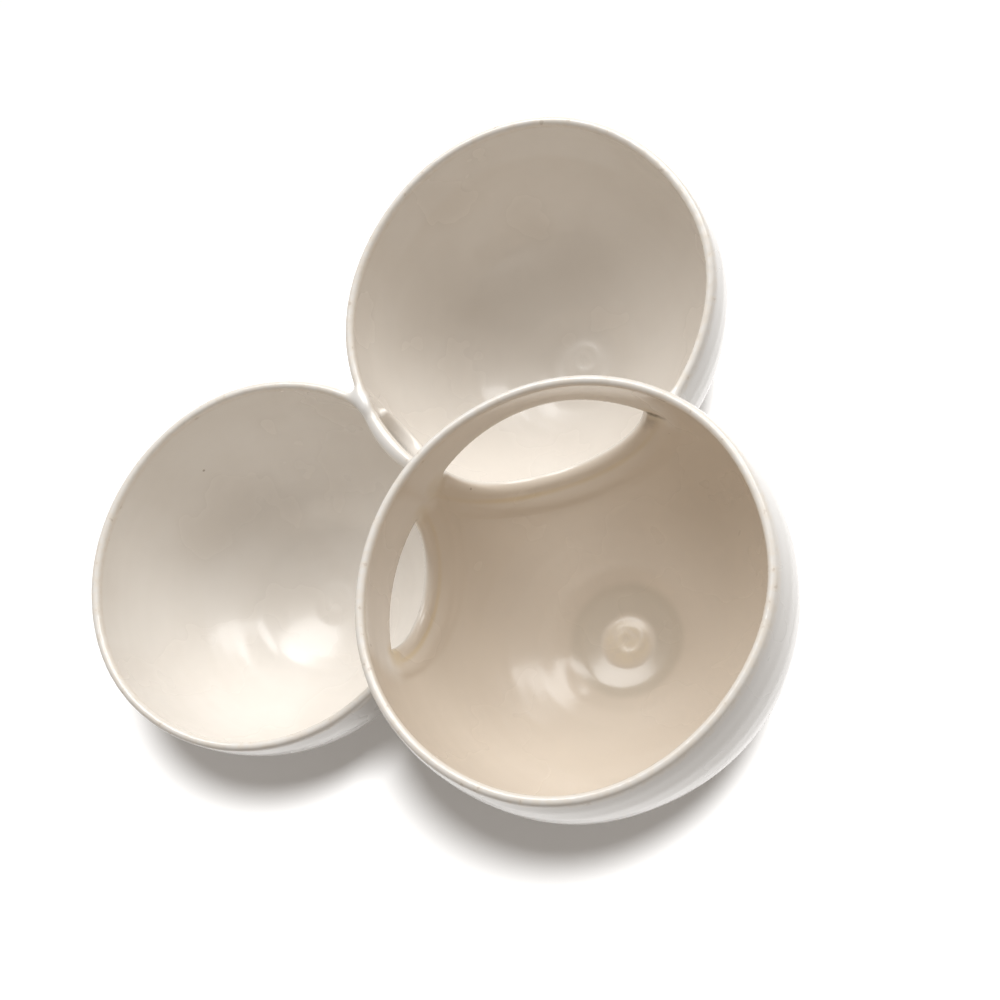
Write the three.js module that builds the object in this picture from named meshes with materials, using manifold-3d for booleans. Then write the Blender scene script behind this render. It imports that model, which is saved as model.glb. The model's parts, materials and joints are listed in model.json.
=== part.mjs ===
// Cluster of three round thrown porcelain bowls, luted together at their walls.
// Lens-shaped openings join the insides of the bowls.
// Millimetres, +Z up. The origin is the middle of the footprint, on the ground flats.

import * as THREE from 'three';
import { mergeVertices } from 'three/addons/utils/BufferGeometryUtils.js';
import Module from 'manifold-3d';

// Driving dimensions.

// Each bowl is a hollow sphere cut off by its mouth. x and y place its centre, mouthHeight is
// how far the lip stands above that centre along the bowl's own axis, and the axis leans by
// `lean` degrees towards the compass direction `leanToward`, in degrees from +X.
const FRONT = { radius: 60, mouthHeight: 17, x: 0, y: 0, lean: 3, leanToward: -73, wellRadius: 19 };
const BACK = {
  radius: 59.5,
  mouthHeight: 9.5,
  x: 47.5,
  y: 80.5,
  lean: 11.5,
  leanToward: -121,
  wellRadius: 15,
};
const LEFT = { radius: 59, mouthHeight: 7, x: -65, y: 82, lean: 9, leanToward: -70, wellRadius: 30 };

const RIM_WALL = 2.8;
const FLOOR_WALL = 6;
const WELL_DEPTH = 1.4;
const WELL_EDGE = 3;
const BUTTON_RADIUS = 8;
const BUTTON_HEIGHT = 1;
const GROUND_DEPTH = 1.2;

// A slip layer fills the joint between two bowls. FIT_GAP is the clearance between pieces.
const FIT_GAP = 0.3;
const SLIP_LAYER = 1;
const JOINT_GAP = SLIP_LAYER + 2 * FIT_GAP;

// At each joint the second bowl's wall ends on the outside of the first one. The seam is a
// ring there with an oval section of half sizes `across` and `along`. The first bowl's wall
// has an opening inside that ring, cut by hand: a round cut of the given radius, `aside` and
// `above` the line of centres, stops under an arched cut or `drop` below both lips.
// Aside is to the left for someone looking along that line.
const JOINTS = [
  {
    name: 'front_back_seam',
    first: FRONT,
    second: BACK,
    across: 4.3,
    along: 4.2,
    cut: { radius: 32.7, aside: 2.5, above: 5 },
    arch: { radius: 84.5, aside: 11, above: -79 },
  },
  {
    name: 'front_left_seam',
    first: FRONT,
    second: LEFT,
    across: 4.3,
    along: 4.2,
    cut: { radius: 20.1, aside: 2, above: 2.5 },
    drop: 0.5,
  },
  {
    name: 'back_left_seam',
    first: BACK,
    second: LEFT,
    across: 3.8,
    along: 3.4,
    cut: { radius: 11.1, aside: 0, above: 0 },
    drop: 4,
  },
];
const SEAM_BELOW_LIP = 1;

const ROUND_SEGMENTS = 42;
const OUTER_STEPS = 12;
const INNER_STEPS = 15;
const LIP_STEPS = 4;
const SEAM_SECTION_SEGMENTS = 10;

const wasm = await Module();
wasm.setup();

// Solids and meshes.

function toSolid(geometry) {
  const bare = geometry.clone();
  bare.deleteAttribute('normal');
  bare.deleteAttribute('uv');
  const merged = mergeVertices(bare, 1e-4);
  const mesh = new wasm.Mesh({
    numProp: 3,
    vertProperties: Float32Array.from(merged.attributes.position.array),
    triVerts: Uint32Array.from(merged.index.array),
  });
  return new wasm.Manifold(mesh);
}

function toMesh(solid, name, material) {
  const { vertProperties, triVerts } = solid.getMesh();
  const geometry = new THREE.BufferGeometry();
  geometry.setAttribute('position', new THREE.BufferAttribute(vertProperties, 3));
  geometry.setIndex(new THREE.BufferAttribute(triVerts, 1));
  geometry.computeVertexNormals();
  const mesh = new THREE.Mesh(geometry, material);
  mesh.name = name;
  return mesh;
}

// A profile of (radius, height) points turned about +Z.
function turned(profile) {
  const geometry = new THREE.LatheGeometry(profile, ROUND_SEGMENTS);
  geometry.rotateX(Math.PI / 2);
  return geometry;
}

// Placing the bowls.

function axisOf(bowl) {
  const lean = THREE.MathUtils.degToRad(bowl.lean);
  const toward = THREE.MathUtils.degToRad(bowl.leanToward);
  const flat = Math.sin(lean);
  return new THREE.Vector3(flat * Math.cos(toward), flat * Math.sin(toward), Math.cos(lean));
}

function centreOf(bowl) {
  return new THREE.Vector3(bowl.x, bowl.y, bowl.radius - GROUND_DEPTH);
}

// Turns +Z to `direction` and moves the origin to `centre`.
function placed(geometry, direction, centre) {
  const up = new THREE.Vector3(0, 0, 1);
  const turn = new THREE.Quaternion().setFromUnitVectors(up, direction);
  geometry.applyQuaternion(turn);
  geometry.translate(centre.x, centre.y, centre.z);
  return geometry;
}

function placedBowl(profile, bowl) {
  return toSolid(placed(turned(profile), axisOf(bowl), centreOf(bowl)));
}

// Bowl profiles. Angles are elevations seen from the centre of the sphere, so -90 degrees is
// the bottom of the bowl.

const BOTTOM = -Math.PI / 2;

function lipCentre(bowl) {
  const height = bowl.mouthHeight - RIM_WALL / 2;
  const elevation = Math.asin(height / (bowl.radius - RIM_WALL / 2));
  return { elevation, height, radius: (bowl.radius - RIM_WALL / 2) * Math.cos(elevation) };
}

// The wall is thin at the rim and thickens towards the floor, which has a shallow round well
// with a low button in its middle.
function innerRadius(bowl, elevation) {
  const thickening = 1 - THREE.MathUtils.smoothstep(elevation, BOTTOM, BOTTOM / 6);
  const plain = bowl.radius - RIM_WALL - (FLOOR_WALL - RIM_WALL) * thickening;
  if (elevation > BOTTOM / 2) {
    return plain;
  }
  const reach = plain * Math.cos(elevation);
  const wellStart = bowl.wellRadius - WELL_EDGE;
  const wellEnd = bowl.wellRadius + WELL_EDGE;
  const well = 1 - THREE.MathUtils.smoothstep(reach, wellStart, wellEnd);
  const button = 1 - THREE.MathUtils.smoothstep(reach, BUTTON_RADIUS / 2, BUTTON_RADIUS);
  return plain + WELL_DEPTH * well - BUTTON_HEIGHT * button;
}

function polar(radius, elevation) {
  return new THREE.Vector2(radius * Math.cos(elevation), radius * Math.sin(elevation));
}

function onAxis(height) {
  return new THREE.Vector2(0, height);
}

function outerArc(bowl, grow) {
  const top = lipCentre(bowl).elevation;
  const points = [onAxis(-bowl.radius - grow)];
  for (let i = 1; i <= OUTER_STEPS; i++) {
    points.push(polar(bowl.radius + grow, BOTTOM + (top - BOTTOM) * (i / OUTER_STEPS)));
  }
  return points;
}

// From the lip down to the floor. The steps get finer towards the well and the button.
function innerArc(bowl, grow) {
  const top = lipCentre(bowl).elevation;
  const points = [];
  for (let i = 0; i < INNER_STEPS; i++) {
    const share = 1 - i / INNER_STEPS;
    const elevation = BOTTOM + (top - BOTTOM) * share ** 1.4;
    points.push(polar(innerRadius(bowl, elevation) - grow, elevation));
  }
  points.push(onAxis(grow - innerRadius(bowl, BOTTOM)));
  return points;
}

function lipArc(bowl, grow) {
  const lip = lipCentre(bowl);
  const points = [];
  for (let i = 1; i < LIP_STEPS; i++) {
    const offset = polar(RIM_WALL / 2 + grow, lip.elevation + Math.PI * (i / LIP_STEPS));
    points.push(offset.add(new THREE.Vector2(lip.radius, lip.height)));
  }
  return points;
}

// The wall of a whole bowl, made thicker by `grow` on every side.
function shell(bowl, grow = 0) {
  return placedBowl([...outerArc(bowl, grow), ...lipArc(bowl, grow), ...innerArc(bowl, grow)], bowl);
}

// Everything inside a bowl's outer face, up to its mouth, made larger by `grow`.
function filled(bowl, grow = 0) {
  const arc = outerArc(bowl, grow);
  const rim = arc[arc.length - 1];
  const top = bowl.mouthHeight + grow;
  return placedBowl([...arc, new THREE.Vector2(rim.x, top), onAxis(top)], bowl);
}

// The hollow of a bowl, up to its mouth, made larger by `grow`.
function hollow(bowl, grow = 0) {
  const arc = innerArc(bowl, -grow).reverse();
  const rim = arc[arc.length - 1];
  const top = bowl.mouthHeight + grow;
  return placedBowl([...arc, new THREE.Vector2(rim.x, top), onAxis(top)], bowl);
}

// Everything above a plane that lies `drop` below a bowl's mouth.
function aboveMouth(bowl, drop) {
  const size = 4 * bowl.radius;
  const block = new THREE.BoxGeometry(size, size, size);
  block.translate(0, 0, size / 2 + bowl.mouthHeight - drop);
  return toSolid(placed(block, axisOf(bowl), centreOf(bowl)));
}

// The circle through the middle of the second wall's cut end, round the line of centres.
function jointCircle({ first, second }) {
  const start = centreOf(first);
  const line = centreOf(second).sub(start);
  const distance = line.length();
  const near = first.radius + JOINT_GAP / 2;
  const far = second.radius - RIM_WALL / 2;
  const along = (distance ** 2 + near ** 2 - far ** 2) / (2 * distance);
  const direction = line.normalize();
  const centre = start.clone().addScaledVector(direction, along);
  return { start, direction, distance, centre, radius: Math.sqrt(near ** 2 - along ** 2) };
}

// A round bar along the line of centres, from the first centre to the second.
function roundCut({ start, direction, distance }, { radius, aside, above }, grow) {
  const size = radius + grow;
  const geometry = new THREE.CylinderGeometry(size, size, distance, 2 * ROUND_SEGMENTS);
  geometry.rotateX(Math.PI / 2);
  geometry.translate(0, 0, distance / 2);
  const left = new THREE.Vector3(0, 0, 1).cross(direction).normalize();
  const up = direction.clone().cross(left);
  const centre = start.clone().addScaledVector(left, aside).addScaledVector(up, above);
  return toSolid(placed(geometry, direction, centre));
}

// The room of the opening between two bowls, made larger by `grow`.
function opening(joint, grow = 0) {
  const circle = jointCircle(joint);
  const room = roundCut(circle, joint.cut, grow);
  if (joint.arch) {
    return room.intersect(roundCut(circle, joint.arch, grow));
  }
  const drop = joint.drop - grow;
  return room.subtract(aboveMouth(joint.first, drop)).subtract(aboveMouth(joint.second, drop));
}

// A ring with an oval section along the joint, made larger by `grow`.
function jointRing(joint, grow = 0) {
  const { direction, centre, radius } = jointCircle(joint);
  const profile = [];
  for (let i = 0; i <= SEAM_SECTION_SEGMENTS; i++) {
    const angle = 2 * Math.PI * ((i % SEAM_SECTION_SEGMENTS) / SEAM_SECTION_SEGMENTS);
    const across = (joint.across + grow) * Math.cos(angle);
    const along = (joint.along + grow) * Math.sin(angle);
    profile.push(new THREE.Vector2(radius + across, along));
  }
  return toSolid(placed(turned(profile), direction, centre));
}

// Everything below the surface that the cluster stands on.
function belowGround() {
  const size = 8 * FRONT.radius;
  const block = new THREE.BoxGeometry(size, size, size);
  block.translate(0, 0, -size / 2);
  return toSolid(block);
}

// A bowl's wall, cut where it meets its neighbours. With `grow` it is the room that the seams
// leave free.
function wall(bowl, grow = 0) {
  let solid = shell(bowl, grow);
  for (const joint of JOINTS) {
    if (joint.first === bowl) {
      solid = solid.subtract(opening(joint, -grow));
    }
    if (joint.second === bowl) {
      solid = solid.subtract(filled(joint.first, JOINT_GAP - grow));
    }
  }
  return solid;
}

function largestBody(solid) {
  const bodies = solid.decompose();
  return bodies.reduce((best, body) => (body.volume() > best.volume() ? body : best));
}

// The seams lie clear of the walls, below the lips, outside the first bowl's hollow, and clear
// of the seams before them.
function seams() {
  const walls = wall(FRONT, FIT_GAP).add(wall(BACK, FIT_GAP)).add(wall(LEFT, FIT_GAP));
  return JOINTS.map((joint, index) => {
    let solid = jointRing(joint).subtract(walls).subtract(hollow(joint.first, FIT_GAP));
    for (const bowl of [joint.first, joint.second]) {
      solid = solid.subtract(aboveMouth(bowl, SEAM_BELOW_LIP));
    }
    for (const earlier of JOINTS.slice(0, index)) {
      solid = solid.subtract(jointRing(earlier, FIT_GAP));
    }
    return largestBody(solid);
  });
}

function glaze(color, roughness) {
  return new THREE.MeshStandardMaterial({ color, roughness, metalness: 0 });
}

function bowlMesh(bowl, name) {
  return toMesh(wall(bowl).subtract(belowGround()), name, glaze(0xe8e2d9, 0.3));
}

const cluster = new THREE.Group();
cluster.add(bowlMesh(FRONT, 'front_bowl'), bowlMesh(BACK, 'back_bowl'), bowlMesh(LEFT, 'left_bowl'));
seams().forEach((solid, index) => {
  cluster.add(toMesh(solid, JOINTS[index].name, glaze(0xe6dccb, 0.35)));
});

// The footprint's middle becomes the origin.
const middle = new THREE.Box3().setFromObject(cluster).getCenter(new THREE.Vector3());
cluster.position.set(-middle.x, -middle.y, 0);

export default cluster;
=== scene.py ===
"""Three thrown porcelain bowls, luted together at their walls, on a white table in soft light.

Every surface is made from a distance field in millimetres, in the row frame: the field is
negative inside the clay. A piece is the surface where its field is zero. The fields of the
walls blend where they meet, which gives the smoothed joints.
"""

import json
import math

import bpy
import numpy as np
from mathutils import Matrix, Vector


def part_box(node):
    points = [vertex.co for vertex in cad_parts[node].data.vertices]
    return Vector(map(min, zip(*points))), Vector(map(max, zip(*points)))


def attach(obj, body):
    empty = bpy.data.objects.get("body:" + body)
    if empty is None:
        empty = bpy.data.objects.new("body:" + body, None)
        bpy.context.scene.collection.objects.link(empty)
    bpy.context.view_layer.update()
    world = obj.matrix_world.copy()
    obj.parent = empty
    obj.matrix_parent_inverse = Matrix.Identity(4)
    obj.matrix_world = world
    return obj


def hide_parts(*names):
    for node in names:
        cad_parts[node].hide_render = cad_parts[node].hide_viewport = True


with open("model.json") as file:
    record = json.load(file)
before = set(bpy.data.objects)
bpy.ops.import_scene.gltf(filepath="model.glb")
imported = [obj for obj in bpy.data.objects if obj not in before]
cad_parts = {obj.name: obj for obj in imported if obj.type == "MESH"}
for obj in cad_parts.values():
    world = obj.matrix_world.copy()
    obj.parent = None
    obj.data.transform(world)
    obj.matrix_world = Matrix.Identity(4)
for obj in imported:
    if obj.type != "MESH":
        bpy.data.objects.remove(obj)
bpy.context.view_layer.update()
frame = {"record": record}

MM = 0.001


def rgb(r, g, b):
    return (r, g, b, 1.0)


# ---------------------------------------------------------------- driving dimensions, mm

RIM_WALL = 2.8
FLOOR_WALL = 6.0
GROUND_DEPTH = 1.2
WELL_DEPTH = 1.4
WELL_EDGE = 5.0
BUTTON_RADIUS = 8.4
SPIRAL_TURNS = 2.5
# The spiral's depth, as a share of the button's height.
SPIRAL_SHARE = 0.07
BUMP_OUTSIDE = 0.03
RINGS_INSIDE = (0.022, 0.012)

EDGE_ROUNDING = 1.6
GROUND_ROUNDING = 0.8
TRIM_ROUNDING = 0.6
FILLET = 5.0
WALL_OVERLAP = 0.8
SEAM_REACH = 10.0
# A seam stands a little proud at its middle and sinks under the walls at its border.
SEAM_PROUD = 0.03
SEAM_SINK = 0.16
# The smoothed band beside a bead: how far from the edge of the cut, and half its width.
BAND_PLACE = 5.2
BAND_HALF_WIDTH = 3.2
LIP_ROLL = 2.1

# The mesh cells. Each piece stays under 200,000 triangles.
BOWL_CELL = 0.92
SEAM_CELL = 0.7
BOWL_MARGIN = 2.5
SEAM_MARGIN = 9.0

# Where the front bowl's largest opening ends in a crevice: how far left of and above the line of
# centres. Negative is right and below.
CREVICE_LEFT = -28.8
CREVICE_UP = -4.5
# How far the hand-thrown shape strays from the round one, along x, y and z.
HAND_THROWN = (0.6, 0.6, 0.45)
HAND_THROWN_WAVELENGTH = 75


def ground_point(node):
    """Where a bowl stands, in mm: the place of its ground flat in the record."""
    for mount in frame["record"]["mounts"]:
        if mount["name"] == f"{node}_ground_flat":
            return np.array(mount["pos_m"]) / MM
    raise ValueError(f"no ground flat for {node}")


class Bowl:
    """A hollow sphere cut off by its mouth, leaning by `lean` degrees towards `toward`.

    `button` is the height of the spiral left in the middle of its floor; `tan` is how much of
    the tan inside colour it gets, 0 to 1: partly a warmer glaze, partly painted shade.
    """

    def __init__(self, node, radius, mouth, lean, toward, well, button, tan):
        self.node = node
        self.button = button
        self.tan = tan
        self.radius = radius
        self.mouth = mouth
        self.well = well
        self.centre = ground_point(node) + [0, 0, radius - GROUND_DEPTH]
        lean, toward = math.radians(lean), math.radians(toward)
        flat = math.sin(lean)
        self.axis = np.array([flat * math.cos(toward), flat * math.sin(toward), math.cos(lean)])
        self.side = np.cross([0.0, 1.0, 0.0], self.axis)
        self.side /= np.linalg.norm(self.side)
        self.across = np.cross(self.axis, self.side)
        middle = radius - RIM_WALL / 2
        self.lip_height = mouth - RIM_WALL / 2
        self.lip_elevation = math.asin(self.lip_height / middle)
        self.lip_radius = middle * math.cos(self.lip_elevation)


FRONT = Bowl("front_bowl", radius=60, mouth=17, lean=3, toward=-73, well=19, button=0.85, tan=1.0)
BACK = Bowl(
    "back_bowl", radius=59.5, mouth=9.5, lean=11.5, toward=-121, well=15, button=0.5, tan=0.2
)
LEFT = Bowl("left_bowl", radius=59, mouth=7, lean=9, toward=-70, well=30, button=0.5, tan=0.0)


class Cut:
    """A round cut along the line of centres; its axis lies `aside` and `above` that line."""

    def __init__(self, radius, aside=0.0, above=0.0):
        self.radius = radius
        self.aside = aside
        self.above = above


class Joint:
    """Where the second bowl's wall ends on the first one, round the line of centres.

    The opening in the first bowl's wall is a round cut that stops under an arched one, or
    `drop` under both mouths. `bead` is the bead on its edge: its radius, how far it lies outside
    the cut, how far inside the middle of the wall, and how far it rises over the opening's top.
    `band` is the height of the smoothed band beside it.
    """

    def __init__(
        self, name, first, second, cut, arch=None, drop=0.0,
        bead=(1.45, 1.2, 0.0, 0.5), band=0.45,
    ):
        self.name = name
        self.bead, self.bead_out, self.bead_in, self.bead_over = bead
        self.band = band
        self.first = first
        self.second = second
        self.cut = cut
        self.arch = arch
        self.drop = drop
        line = second.centre - first.centre
        distance = np.linalg.norm(line)
        self.direction = line / distance
        self.left = np.cross([0.0, 0.0, 1.0], self.direction)
        self.left /= np.linalg.norm(self.left)
        self.up = np.cross(self.direction, self.left)
        near = first.radius + 0.8
        far = second.radius - RIM_WALL / 2
        self.along = (distance**2 + near**2 - far**2) / (2 * distance)
        self.ring = math.sqrt(near**2 - self.along**2)


FRONT_BACK = Joint("front_back_seam", FRONT, BACK, Cut(32.7, 2.5, 5), arch=Cut(84.5, 11, -79))
FRONT_LEFT = Joint("front_left_seam", FRONT, LEFT, Cut(20.1, 2, 2.5), drop=0.5)
BACK_LEFT = Joint(
    "back_left_seam", BACK, LEFT, Cut(11.1), drop=4.0, bead=(2.3, 0.4, 1.6, -1.5), band=0.0
)
JOINTS = (FRONT_BACK, FRONT_LEFT, BACK_LEFT)

# ---------------------------------------------------------------- fields


def smoothstep(x, low, high):
    t = np.clip((x - low) / (high - low), 0.0, 1.0)
    return t * t * (3 - 2 * t)


def bump(x, middle, half_width):
    """1 at the middle, 0 beyond half_width from it, smooth in between."""
    t = np.clip(1 - ((x - middle) / half_width) ** 2, 0.0, 1.0)
    return t * t


def smooth_max(a, b, width):
    h = np.maximum(width - np.abs(a - b), 0.0) / width
    return np.maximum(a, b) + h * h * width / 4


def smooth_min(a, b, width):
    return -smooth_max(-a, -b, width)


def waves(p, wavelength, seed):
    """Soft noise in -1..1: a sum of sine waves in fixed, seeded directions."""
    rng = np.random.default_rng(seed)
    total = np.zeros(len(p))
    count = 7
    for _ in range(count):
        direction = rng.normal(size=3)
        direction *= 2 * math.pi / (wavelength * np.linalg.norm(direction))
        direction *= rng.uniform(0.7, 1.4)
        total += np.sin(p @ direction + rng.uniform(0, 2 * math.pi))
    return total / math.sqrt(count) / 1.6


def bowl_coordinates(bowl, p):
    """Distance from the bowl's axis, height along it, and the angle round it."""
    q = p - bowl.centre
    height = q @ bowl.axis
    x, y = q @ bowl.side, q @ bowl.across
    return np.hypot(x, y), height, np.arctan2(y, x)


def inner_radius(bowl, reach, elevation, angle):
    """The inside: a thickening wall, a shallow well, a spiral button, faint throwing rings."""
    thickening = 1 - smoothstep(elevation, -math.pi / 2, -math.pi / 12)
    plain = bowl.radius - RIM_WALL - (FLOOR_WALL - RIM_WALL) * thickening
    below = elevation < -math.pi / 4
    well = 1 - smoothstep(reach, bowl.well - WELL_EDGE, bowl.well + WELL_EDGE)
    button = 1 - smoothstep(reach, 0.4 * BUTTON_RADIUS, 1.1 * BUTTON_RADIUS)
    turn = SPIRAL_TURNS * 2 * math.pi * reach / BUTTON_RADIUS - angle
    spiral = np.cos(turn) * button * smoothstep(reach, 0.3, 2.0)
    floor = WELL_DEPTH * well - bowl.button * (button - SPIRAL_SHARE * spiral)
    wide, narrow = RINGS_INSIDE
    rings = wide * np.sin(elevation * 38 - angle) + narrow * np.sin(elevation * 71 - 2 * angle)
    fade = smoothstep(reach, BUTTON_RADIUS, 2 * BUTTON_RADIUS) * smoothstep(-elevation, -0.25, 0.1)
    return plain + np.where(below, floor, 0.0) + rings * fade


def whole_wall(bowl, p):
    """The wall of a whole bowl with its rounded lip."""
    reach, height, angle = bowl_coordinates(bowl, p)
    r = np.hypot(reach, height)
    elevation = np.arctan2(height, reach)
    ripple = BUMP_OUTSIDE * np.sin(elevation * 60 - angle)
    outer = bowl.radius + ripple * smoothstep(elevation, -1.2, -0.6)
    wall = np.maximum(r - outer, inner_radius(bowl, reach, elevation, angle) - r)
    lip = np.hypot(reach - bowl.lip_radius, height - bowl.lip_height) - RIM_WALL / 2
    return np.where(elevation < bowl.lip_elevation, wall, lip)


def height_over_mouth(bowl, p, drop=0.0):
    return (p - bowl.centre) @ bowl.axis - (bowl.mouth - drop)


def joint_coordinates(joint, p):
    """Left of the line of centres, above it, and along it from the first centre."""
    q = p - joint.first.centre
    return q @ joint.left, q @ joint.up, q @ joint.direction


def outside_cut(cut, left, up):
    return np.hypot(left - cut.aside, up - cut.above) - cut.radius


def under_lips(joint, p):
    """Negative below the place where an opening ends."""
    if joint.arch:
        left, up, _ = joint_coordinates(joint, p)
        return outside_cut(joint.arch, left, up)
    return np.maximum(
        height_over_mouth(joint.first, p, joint.drop),
        height_over_mouth(joint.second, p, joint.drop),
    )


def opening(joint, p):
    left, up, along = joint_coordinates(joint, p)
    low = np.maximum(outside_cut(joint.cut, left, up), -along)
    return np.maximum(low, under_lips(joint, p))


def over_ground(p):
    return -p[:, 2]


def wall(bowl, p):
    """A bowl's wall, cut where it meets its neighbours and by the ground."""
    field = whole_wall(bowl, p)
    for joint in JOINTS:
        if joint.first is bowl:
            field = smooth_max(field, -opening(joint, p), EDGE_ROUNDING)
        if joint.second is bowl:
            other = joint.first
            depth = other.radius - WALL_OVERLAP - np.linalg.norm(p - other.centre, axis=1)
            field = smooth_max(field, depth, TRIM_ROUNDING)
    return smooth_max(field, over_ground(p), GROUND_ROUNDING)


def seam(joint, p):
    """The smoothed joint: all walls blended, with a bead on the edge of the opening."""
    first, second = joint.first, joint.second
    left, up, along = joint_coordinates(joint, p)
    from_first = np.linalg.norm(p - first.centre, axis=1)
    middle = first.radius - RIM_WALL / 2
    ring = np.hypot(np.hypot(left, up) - joint.ring, along - joint.along)
    edge = outside_cut(joint.cut, left, up)
    top = under_lips(joint, p)
    to_edge = np.hypot(np.maximum(edge, top), from_first - middle)
    reach = np.minimum(ring, to_edge)

    field = wall(FRONT, p)
    blend = 0.2 + FILLET * (1 - smoothstep(ring, 3.0, SEAM_REACH - 1.5))
    for bowl in (BACK, LEFT):
        field = smooth_min(field, wall(bowl, p), blend)
    bead = np.hypot(edge - joint.bead_out, from_first - middle + joint.bead_in) - joint.bead
    bead = smooth_max(bead, top - joint.bead_over, 1.5)
    field = smooth_min(field, bead, 0.5)
    inner_side = 1 - smoothstep(from_first, middle - 1.5, middle)
    band = bump(edge, BAND_PLACE, BAND_HALF_WIDTH) * inner_side * smoothstep(-top, -1.0, 4.0)
    field -= joint.band * band
    if joint is BACK_LEFT:
        lip = height_over_mouth(first, p)
        roll = np.hypot(from_first - first.radius - 0.1, lip + LIP_ROLL) - LIP_ROLL
        roll = roll + 0.006 * left**2
        field = smooth_min(field, roll, 2.0)
        field = smooth_max(field, -opening(joint, p) - 0.4, 1.2)
    sink = SEAM_SINK * smoothstep(reach, 4.0, SEAM_REACH) - SEAM_PROUD
    return np.maximum(field + sink, reach - SEAM_REACH - 0.5)


# ---------------------------------------------------------------- surfaces


def surface_net(field, low, high, cell):
    """A closed quad mesh of the surface where the field is zero."""
    counts = np.ceil((high - low) / cell).astype(int) + 1
    ticks = [low[i] + cell * np.arange(counts[i]) for i in range(3)]
    values = np.empty(counts)
    for i, x in enumerate(ticks[0]):
        y, z = np.meshgrid(ticks[1], ticks[2], indexing="ij")
        slab = np.stack([np.full(y.size, x), y.ravel(), z.ravel()], axis=1)
        values[i] = field(slab).reshape(y.shape)
    inside = values < 0
    cells = counts - 1

    def corner(grid, offset):
        return grid[tuple(slice(o, o + n) for o, n in zip(offset, cells))]

    total = np.zeros((*cells, 3))
    hits = np.zeros(cells)
    for axis in range(3):
        others = [a for a in range(3) if a != axis]
        for u in (0, 1):
            for v in (0, 1):
                start = [0, 0, 0]
                start[others[0]], start[others[1]] = u, v
                end = list(start)
                end[axis] = 1
                a, b = corner(values, start), corner(values, end)
                crossed = (a < 0) != (b < 0)
                share = np.where(crossed, a / np.where(crossed, a - b, 1.0), 0.0)
                hits += crossed
                for k in range(3):
                    total[..., k] += crossed * (start[k] + (share if k == axis else 0.0))
    active = hits > 0
    index = np.full(tuple(cells), -1)
    index[active] = np.arange(active.sum())
    place = np.argwhere(active) + total[active] / hits[active][:, None]
    points = low + cell * place

    quads = []
    for axis in range(3):
        u, v = [a for a in range(3) if a != axis]
        if axis == 1:
            u, v = v, u
        here = [slice(1, None)] * 3
        here[axis] = slice(0, -1)
        there = [slice(1, None)] * 3
        there[axis] = slice(1, None)
        now, then = inside[tuple(here)], inside[tuple(there)]
        crossing = np.argwhere(now != then)
        first = crossing + 1
        first[:, axis] -= 1
        keep = np.all(first < cells, axis=1)
        crossing, first = crossing[keep], first[keep]
        flip = then[tuple(crossing.T)]
        ring = []
        for du, dv in ((1, 1), (0, 1), (0, 0), (1, 0)):
            c = first.copy()
            c[:, u] -= du
            c[:, v] -= dv
            ring.append(index[tuple(c.T)])
        quad = np.stack(ring, axis=1)
        quad[flip] = quad[flip][:, ::-1]
        quads.append(quad)
    return points, np.concatenate(quads)


def onto_surface(field, points, steps, longest):
    h = 0.05
    for _ in range(steps):
        value = field(points)
        slope = np.stack(
            [(field(points + h * e) - field(points - h * e)) / (2 * h) for e in np.eye(3)],
            axis=1,
        )
        size = np.maximum((slope**2).sum(axis=1), 0.05)
        step = np.clip(value / size, -longest, longest)
        points = points - slope * step[:, None]
    return points


def relaxed(points, quads):
    """Moves each point to the mean of its neighbours."""
    a = quads.ravel()
    b = np.roll(quads, -1, axis=1).ravel()
    degree = np.bincount(a, minlength=len(points)) + np.bincount(b, minlength=len(points))
    mean = np.empty_like(points)
    for k in range(3):
        forward = np.bincount(a, points[b, k], len(points))
        backward = np.bincount(b, points[a, k], len(points))
        mean[:, k] = (forward + backward) / degree
    return mean


def hand_thrown(points):
    """Bends everything by the same soft field, so that no bowl is quite round."""
    free = smoothstep(points[:, 2], 2.0, 30.0)[:, None]
    shift = np.stack(
        [waves(points, HAND_THROWN_WAVELENGTH, seed) for seed in (11, 12, 13)], axis=1
    )
    return points + free * shift * HAND_THROWN


def piece(name, node, field, low, high, cell, material, inside_of):
    """One closed mesh, with the shares the glaze needs stored on its points."""
    points, quads = surface_net(field, np.array(low, float), np.array(high, float), cell)
    points = onto_surface(field, points, 3, cell)
    for _ in range(2):
        points = onto_surface(field, relaxed(points, quads), 2, cell)
    shares = {
        "inner": inside_share(points, inside_of),
        # Painted light: the walls over the front bowl's openings get less of the tan colour.
        "tan": inside_share(points, inside_of, warm=True) * (1 - 0.8 * painted_light_bridge_share(points)),
        "lip": lip_share(points),
        "pooled": pooled_share(points),
        "crevice_shade_and_stain": crevice_shade_and_stain_share(points),
        "well": floor_share(points, BUTTON_RADIUS, FRONT.well - 1.0),
        "button": floor_share(points, -BUTTON_RADIUS, BUTTON_RADIUS - 1.0),
    }
    points = hand_thrown(points)
    mesh = bpy.data.meshes.new(name)
    mesh.vertices.add(len(points))
    mesh.vertices.foreach_set("co", (points * MM).astype(np.float32).ravel())
    mesh.loops.add(quads.size)
    mesh.loops.foreach_set("vertex_index", quads.astype(np.int32).ravel())
    mesh.polygons.add(len(quads))
    mesh.polygons.foreach_set("loop_start", np.arange(0, quads.size, 4, dtype=np.int32))
    mesh.update(calc_edges=True)
    mesh.validate()
    mesh.shade_smooth()
    for label, share in shares.items():
        values = mesh.attributes.new(label, "FLOAT", "POINT")
        values.data.foreach_set("value", share.astype(np.float32))
    mesh.materials.append(material)
    shown = bpy.data.objects.new(name, mesh)
    bpy.context.scene.collection.objects.link(shown)
    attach(shown, "root")
    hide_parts(node)
    return shown


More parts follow.
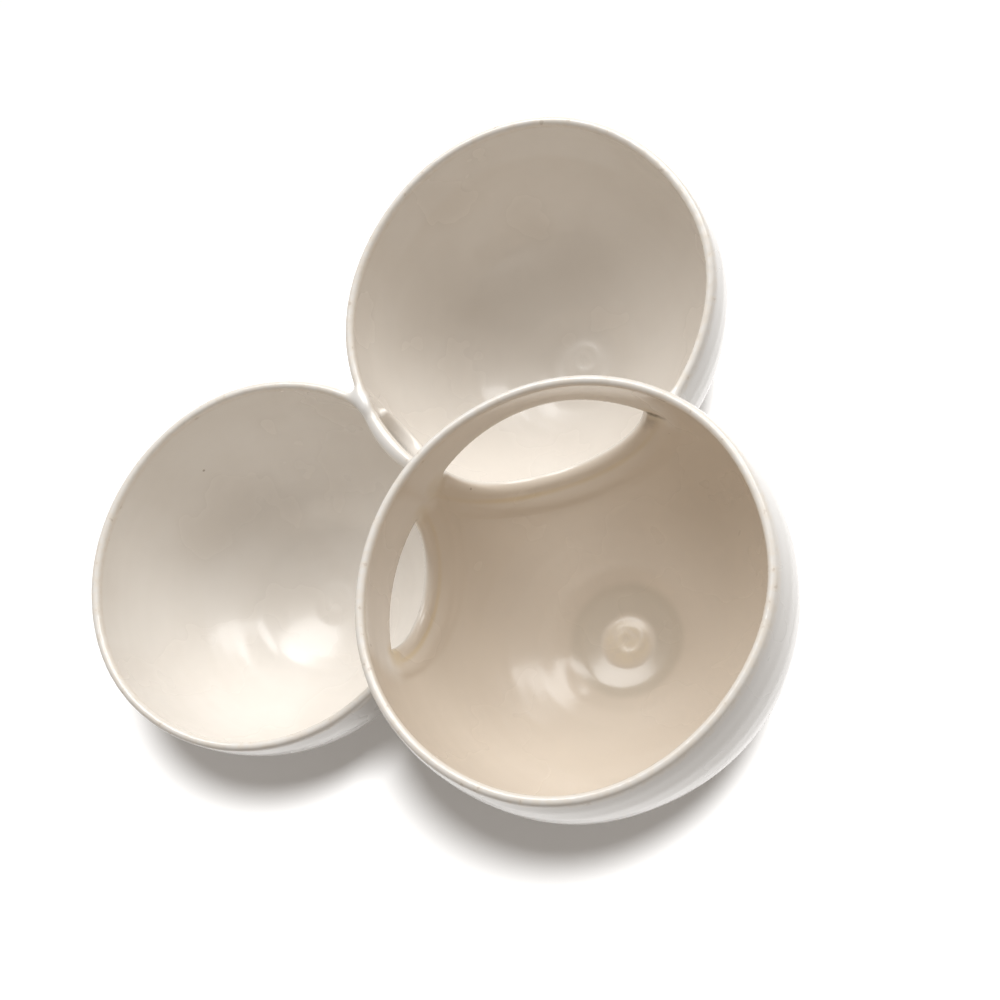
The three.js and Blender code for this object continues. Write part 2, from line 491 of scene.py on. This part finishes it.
def inside_share(points, bowls, warm=False):
    """1 on the inside of a bowl, 0 on its outside; `warm` weighs each bowl by how tan it is."""
    share = np.zeros(len(points))
    for bowl in bowls:
        r = np.linalg.norm(points - bowl.centre, axis=1)
        inner = 1 - smoothstep(r, bowl.radius - 2.2, bowl.radius - 0.6)
        below = 1 - smoothstep(height_over_mouth(bowl, points), -1.2, 0.0)
        share = np.maximum(share, (bowl.tan if warm else 1.0) * inner * below)
    return share


def lip_share(points):
    """1 on the rounded lips."""
    share = np.zeros(len(points))
    for bowl in (FRONT, BACK, LEFT):
        reach, height, _ = bowl_coordinates(bowl, points)
        away = np.hypot(reach - bowl.lip_radius, height - bowl.lip_height)
        share = np.maximum(share, 1 - smoothstep(away, 1.3, 2.4))
    return share


def pooled_share(points):
    """1 in the creases beside the openings and in their corners, where glaze gathers."""
    share = np.zeros(len(points))
    for joint in (FRONT_BACK, FRONT_LEFT):
        left, up, along = joint_coordinates(joint, points)
        ring = np.hypot(np.hypot(left, up) - joint.ring, along - joint.along)
        edge = outside_cut(joint.cut, left, up)
        top = under_lips(joint, points)
        near = 1 - smoothstep(ring, 6.0, 12.0)
        crease = bump(edge, 2.75, 0.9) * (1 - smoothstep(top, -3.0, 0.0))
        corner = 1 - smoothstep(np.hypot(edge - 1.0, top), 1.5, 5.0)
        share = np.maximum(share, near * np.maximum(crease, corner))
    return share


def crevice_shade_and_stain_share(points):
    """Painted shade: 1 in the dark crevice at the end of the widest opening; 0.4 on the rough patch
    under it, a real stain.
    """
    left, up, along = joint_coordinates(FRONT_BACK, points)
    near = 1 - smoothstep(np.abs(along - FRONT_BACK.along), 6.0, 12.0)
    across, over = (left - CREVICE_LEFT + 2.4) / 2.6, up - CREVICE_UP - 0.4
    slit = 1 - smoothstep(np.hypot(across, over), 0.5, 1.4)
    edge = outside_cut(FRONT_BACK.cut, left, up)
    patch = bump(up, CREVICE_UP - 4.5, 6.0) * bump(edge, 1.2, 2.8) * (left < 0)
    return near * np.maximum(slit, 0.4 * patch)


def floor_share(points, inner, outer):
    """1 on the front bowl's floor between two distances from its axis, soft at both."""
    reach, height, _ = bowl_coordinates(FRONT, points)
    inside = (height < 0) & (np.hypot(reach, height) < FRONT.radius - 2.0)
    past_inner = smoothstep(reach, inner - 1.0, inner + 1.0)
    past_outer = smoothstep(reach, outer - 1.5, outer + 1.5)
    return inside * past_inner * (1 - past_outer)


def painted_light_bridge_share(points):
    """Painted light: 1 on the walls left standing over the front bowl's openings, which are kept
    pale.
    """
    share = np.zeros(len(points))
    for joint in (FRONT_BACK, FRONT_LEFT):
        left, up, along = joint_coordinates(joint, points)
        near = (1 - smoothstep(outside_cut(joint.cut, left, up), 2.0, 10.0)) * (along > 0)
        share = np.maximum(share, near * smoothstep(under_lips(joint, points), -3.0, 1.0))
    return share


# ---------------------------------------------------------------- materials

OUTSIDE = rgb(0.80, 0.785, 0.76)
# The tan inside colour is partly a warmer glaze and partly painted shade; the pale inside colour is
# partly a paler glaze and partly painted light.
PALE_LIT_INSIDE = rgb(0.87, 0.83, 0.775)
TAN_SHADED_INSIDE = rgb(0.715, 0.63, 0.53)
CLOUD = rgb(0.68, 0.60, 0.51)
IRON_SPECK = rgb(0.28, 0.2, 0.13)
# The well colour is partly glaze pooled in the well, partly painted shade.
WELL_POOL_AND_SHADE = rgb(0.56, 0.50, 0.41)
# The button colour is partly mottled glaze, partly painted light.
BUTTON_MOTTLE_AND_LIGHT = rgb(0.78, 0.68, 0.53)
WORN_LIP = rgb(0.80, 0.73, 0.64)
LIP_PIT = rgb(0.42, 0.34, 0.26)
POOLED = rgb(0.66, 0.52, 0.30)
# Near-black painted shade for the crevice, also the colour of the stain on the patch under it.
CREVICE_SHADE_AND_STAIN = rgb(0.16, 0.13, 0.10)


class Nodes:
    """Short calls for building a node tree."""

    def __init__(self, name):
        self.material = bpy.data.materials.new(name)
        self.material.use_nodes = True
        self.tree = self.material.node_tree
        self.tree.nodes.clear()

    def add(self, kind, inputs=(), **settings):
        node = self.tree.nodes.new(kind)
        for key, value in settings.items():
            setattr(node, key, value)
        for key, value in dict(inputs).items():
            if isinstance(value, bpy.types.NodeSocket):
                self.tree.links.new(value, node.inputs[key])
            else:
                node.inputs[key].default_value = value
        return node

    def share(self, name):
        """One of the values that piece() stores on the points."""
        return self.add("ShaderNodeAttribute", attribute_name=name).outputs["Fac"]

    def noise(self, place, scale, detail):
        inputs = {"Vector": place, "Scale": scale, "Detail": detail}
        return self.add("ShaderNodeTexNoise", inputs).outputs[0]

    def mix(self, factor, a, b):
        node = self.add("ShaderNodeMix", data_type="RGBA")
        for key, value in ((0, factor), (6, a), (7, b)):
            if isinstance(value, bpy.types.NodeSocket):
                self.tree.links.new(value, node.inputs[key])
            else:
                node.inputs[key].default_value = value
        return node.outputs[2]

    def math(self, operation, a, b):
        node = self.add("ShaderNodeMath", operation=operation)
        for key, value in enumerate((a, b)):
            if isinstance(value, bpy.types.NodeSocket):
                self.tree.links.new(value, node.inputs[key])
            else:
                node.inputs[key].default_value = value
        return node.outputs[0]

    def ramp(self, value, low, high, to_low=0.0, to_high=1.0):
        inputs = {
            "Value": value, "From Min": low, "From Max": high, "To Min": to_low, "To Max": to_high,
        }
        return self.add("ShaderNodeMapRange", inputs, interpolation_type="SMOOTHSTEP").outputs[0]


def glaze(name, outside, pale, tan):
    """Satin white glaze: warmer inside, yellow where it gathers, worn lips and iron specks. Painted
    into its colour: shade on the front bowl's inside, in its well and in a crevice, and light on
    the other insides, the button and the walls over the openings.
    """
    n = Nodes(name)
    place = n.add("ShaderNodeTexCoord").outputs["Object"]
    cloud = n.noise(place, 28.0, 3.0)
    fine = n.noise(place, 420.0, 2.0)
    inner, lip = n.share("inner"), n.share("lip")

    # Painted shade and light: the tan darkens the front bowl's inside, and the pale colour lightens
    # the other insides.
    colour = n.mix(n.share("tan"), n.mix(inner, outside, pale), tan)
    cloudy = n.math("MULTIPLY", inner, n.ramp(cloud, 0.35, 0.7, 0.0, 0.2))
    colour = n.mix(cloudy, colour, CLOUD)

    specks = n.add("ShaderNodeTexVoronoi", {"Vector": place, "Scale": 170.0})
    pick = n.add("ShaderNodeSeparateColor", {"Color": specks.outputs["Color"]}).outputs[0]
    dot = n.ramp(specks.outputs["Distance"], 0.05, 0.1, 1.0, 0.0)
    speck = n.math("MULTIPLY", n.math("GREATER_THAN", pick, 0.975), dot)
    colour = n.mix(n.math("MULTIPLY", speck, 0.6), colour, IRON_SPECK)

    # Partly glaze pooled in the front bowl's well, partly painted shade: the well is darkened.
    colour = n.mix(n.math("MULTIPLY", n.share("well"), 0.55), colour, WELL_POOL_AND_SHADE)
    # Partly mottled glaze, partly painted light: the button in the front bowl's floor is lighter.
    mottled_and_lit = n.math("MULTIPLY", n.share("button"), n.ramp(fine, 0.3, 0.65, 0.35, 0.75))
    colour = n.mix(mottled_and_lit, colour, BUTTON_MOTTLE_AND_LIGHT)

    worn = n.math("MULTIPLY", lip, n.ramp(fine, 0.35, 0.7, 0.3, 0.8))
    colour = n.mix(worn, colour, WORN_LIP)
    pits = n.math("MULTIPLY", lip, n.ramp(fine, 0.66, 0.74, 0.0, 0.35))
    colour = n.mix(pits, colour, LIP_PIT)
    gathered = n.math("MULTIPLY", n.share("pooled"), n.ramp(cloud, 0.3, 0.6, 0.15, 0.6))
    colour = n.mix(gathered, colour, POOLED)
    # Painted shade in the crevice at the end of the widest opening, and a real stain on the patch
    # under it.
    shaded_and_stained = n.math("MULTIPLY", n.share("crevice_shade_and_stain"), n.ramp(fine, 0.3, 0.6, 0.6, 1.0))
    colour = n.mix(shaded_and_stained, colour, CREVICE_SHADE_AND_STAIN)

    rough = n.ramp(cloud, 0.3, 0.7, 0.2, 0.3)
    ripple = n.noise(place, 120.0, 2.0)
    height = n.math("ADD", n.math("MULTIPLY", ripple, 0.6), n.math("MULTIPLY", fine, 0.15))
    normal = n.add("ShaderNodeBump", {"Height": height, "Strength": 0.12, "Distance": 0.0008})
    surface = n.add("ShaderNodeBsdfPrincipled", {
        "Base Color": colour, "Roughness": rough, "Normal": normal.outputs[0],
        "Coat Weight": 0.3, "Coat Roughness": 0.12,
    })
    n.add("ShaderNodeOutputMaterial", {"Surface": surface.outputs[0]})
    return n.material


# ---------------------------------------------------------------- camera and light

CAMERA_HEADING = -6.0
CAMERA_ELEVATION = 57.1
CAMERA_ROLL = 49.0
CAMERA_LENS = 43.2
# From the front bowl's centre, mm.
CAMERA_OFFSET = Vector((22.1, -148.8, 290.4))

# Metres from here on.
KEY_COLOUR = (0.985, 0.995, 1.0)
KEY_SIZE = 0.7
TABLE_LIGHT_COLOUR = (1.0, 1.0, 1.0)
TABLE_LIGHT_SIZE = 0.3
LIGHT_DISTANCE = 1.2
LIT_HEIGHT = 0.04
ROOM_COLOUR = rgb(1.0, 0.93, 0.86)
ROOM_STRENGTH = 0.36
TABLE_RADIUS = 3


def camera_axes():
    """Right, up and view directions of the camera."""
    heading, elevation = math.radians(90 - CAMERA_HEADING), math.radians(CAMERA_ELEVATION)
    view = Vector((
        math.cos(heading) * math.cos(elevation),
        math.sin(heading) * math.cos(elevation),
        -math.sin(elevation),
    ))
    level = view.cross(Vector((0, 0, 1))).normalized()
    right = Matrix.Rotation(math.radians(CAMERA_ROLL), 3, view) @ level
    return right, right.cross(view), view


def make_camera():
    data = bpy.data.cameras.new("camera")
    data.lens = CAMERA_LENS
    data.sensor_width = 36
    data.clip_start = 0.01
    camera = bpy.data.objects.new("camera", data)
    right, up, view = camera_axes()
    turn = Matrix((right, up, -view)).transposed().to_4x4()
    place = (Vector(FRONT.centre) + CAMERA_OFFSET) * MM
    camera.matrix_world = Matrix.Translation(place) @ turn
    bpy.context.scene.collection.objects.link(camera)
    bpy.context.scene.camera = camera


def area_light(name, direction, size, power, colour, table, on_table):
    """A round softbox that lights either the table alone or everything but the table."""
    data = bpy.data.lights.new(name, "AREA")
    data.shape = "DISK"
    data.size = size
    data.energy = power
    data.color = colour
    light = bpy.data.objects.new(name, data)
    towards = direction.normalized()
    light.location = towards * LIGHT_DISTANCE + Vector((0, 0, LIT_HEIGHT))
    light.rotation_euler = towards.to_track_quat("Z", "Y").to_euler()
    bpy.context.scene.collection.objects.link(light)
    receivers = bpy.data.collections.new(f"{name}_receivers")
    receivers.objects.link(table)
    if not on_table:
        receivers.collection_objects[0].light_linking.link_state = "EXCLUDE"
    light.light_linking.receiver_collection = receivers


def from_camera(tilt, turn):
    """The direction `tilt` degrees off the line to the camera, `turn` degrees right of image up."""
    right, up, view = camera_axes()
    tilt, turn = math.radians(tilt), math.radians(turn)
    across = up * math.cos(turn) + right * math.sin(turn)
    return across * math.sin(tilt) - view * math.cos(tilt)


def make_lights(table):
    """Two softboxes for the object, a third for the table, and a dim warm room."""
    for name, turn, power in (("softbox_left", -30, 7.8), ("softbox_right", 12, 7.3)):
        area_light(name, from_camera(64, turn), KEY_SIZE, power, KEY_COLOUR, table, False)
    area_light(
        "table_light", from_camera(25, 0), TABLE_LIGHT_SIZE, 20.5, TABLE_LIGHT_COLOUR, table, True
    )
    world = bpy.data.worlds.new("world")
    world.use_nodes = True
    background = world.node_tree.nodes["Background"]
    background.inputs["Color"].default_value = ROOM_COLOUR
    background.inputs["Strength"].default_value = ROOM_STRENGTH
    bpy.context.scene.world = world


def make_floor():
    """A pale table that throws no light back on the object."""
    n = Nodes("table")
    place = n.add("ShaderNodeTexCoord").outputs["Object"]
    grain = n.noise(place, 9.0, 2.0)
    colour = n.mix(n.ramp(grain, 0.3, 0.7), rgb(0.95, 0.95, 0.95), rgb(0.97, 0.97, 0.97))
    surface = n.add("ShaderNodeBsdfPrincipled", {"Base Color": colour, "Roughness": 0.9})
    n.add("ShaderNodeOutputMaterial", {"Surface": surface.outputs[0]})
    mesh = bpy.data.meshes.new("table")
    corners = 64
    edge = [
        (TABLE_RADIUS * math.cos(a), TABLE_RADIUS * math.sin(a), 0)
        for a in np.linspace(0, 2 * math.pi, corners, False)
    ]
    mesh.from_pydata(edge, [], [range(corners)])
    mesh.materials.append(n.material)
    table = bpy.data.objects.new("table", mesh)
    bpy.context.scene.collection.objects.link(table)
    table.visible_diffuse = False
    return table


# ---------------------------------------------------------------- the object

make_camera()
make_lights(make_floor())

white_glaze = glaze("white_glaze", OUTSIDE, PALE_LIT_INSIDE, TAN_SHADED_INSIDE)
joint_glaze = glaze("joint_glaze", OUTSIDE, PALE_LIT_INSIDE, TAN_SHADED_INSIDE)


def node_box(node, margin):
    low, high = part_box(node)
    return np.array(low) / MM - margin, np.array(high) / MM + margin


for bowl in (FRONT, BACK, LEFT):
    low, high = node_box(bowl.node, BOWL_MARGIN)
    piece(f"{bowl.node}_glazed", bowl.node, lambda p, b=bowl: wall(b, p),
          low, high, BOWL_CELL, white_glaze, [bowl])
for joint in JOINTS:
    low, high = node_box(joint.name, SEAM_MARGIN)
    piece(f"{joint.name}_smoothed", joint.name, lambda p, j=joint: seam(j, p),
          low, high, SEAM_CELL, joint_glaze, [joint.first, joint.second])

view = bpy.context.scene.view_settings
view.view_transform = "Standard"
view.look = "None"
